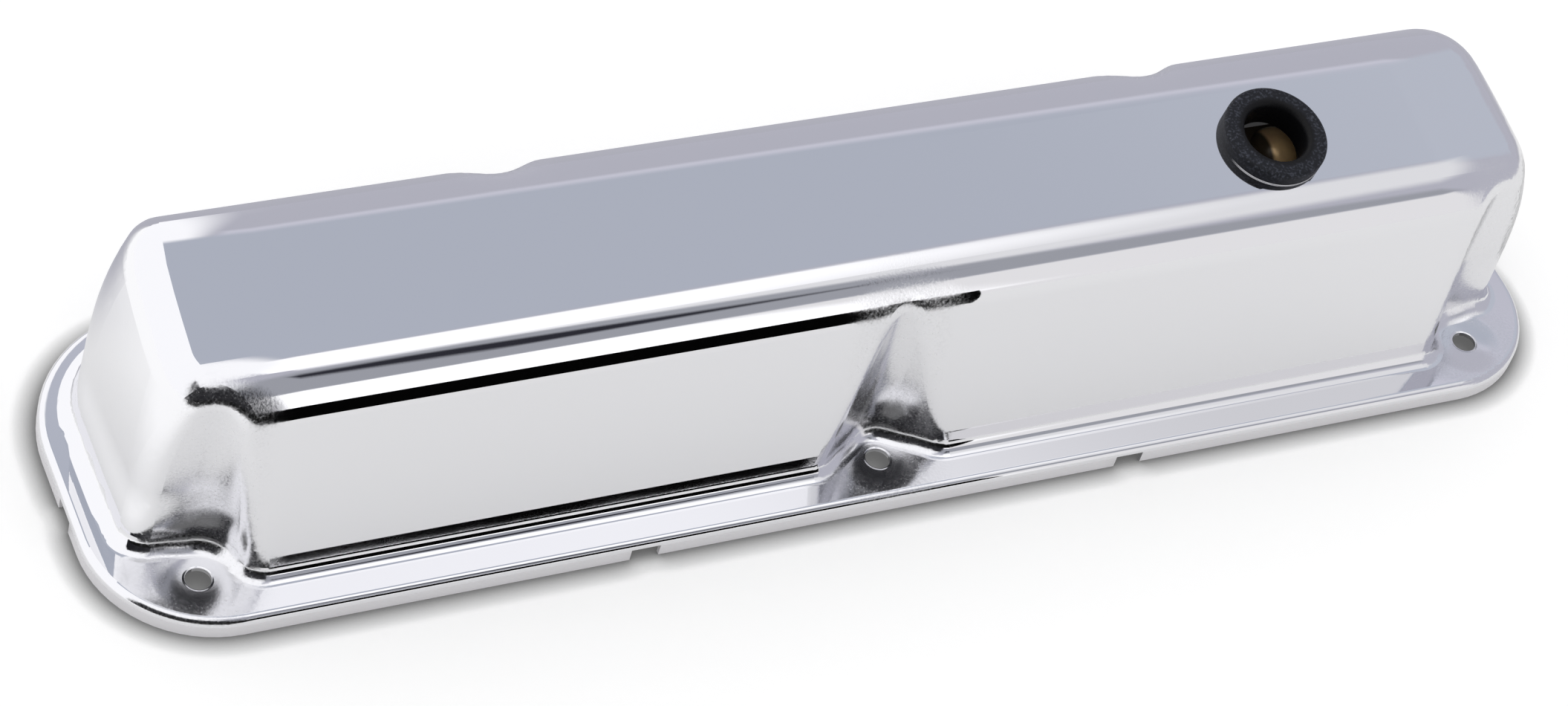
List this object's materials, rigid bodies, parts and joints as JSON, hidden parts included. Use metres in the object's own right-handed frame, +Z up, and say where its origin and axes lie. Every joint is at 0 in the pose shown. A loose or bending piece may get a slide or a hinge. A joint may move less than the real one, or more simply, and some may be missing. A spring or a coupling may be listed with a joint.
{
  "type": "engine valve cover",
  "caption": "Long chromed pressed-steel valve cover with recessed bolt seats, a tilted top face and a rubber breather grommet.",
  "frame": {"origin": "centre of the bounding box at the bottom edge of the lip", "axes": "+X along the cover towards the end with the breather hole, +Y towards the ridge side, +Z up"},
  "size_m": [0.45, 0.11, 0.0784],
  "materials": {
    "chrome_plate": "bright chrome plate on drawn steel sheet",
    "grommet_rubber": "matt black moulded rubber with fine speckle",
    "yellow_zinc": "yellow zinc plated steel sheet"
  },
  "bodies": {
    "root": {"cover_shell": "chrome_plate", "grommet": "grommet_rubber", "baffle": "yellow_zinc"}
  },
  "joints": []
}
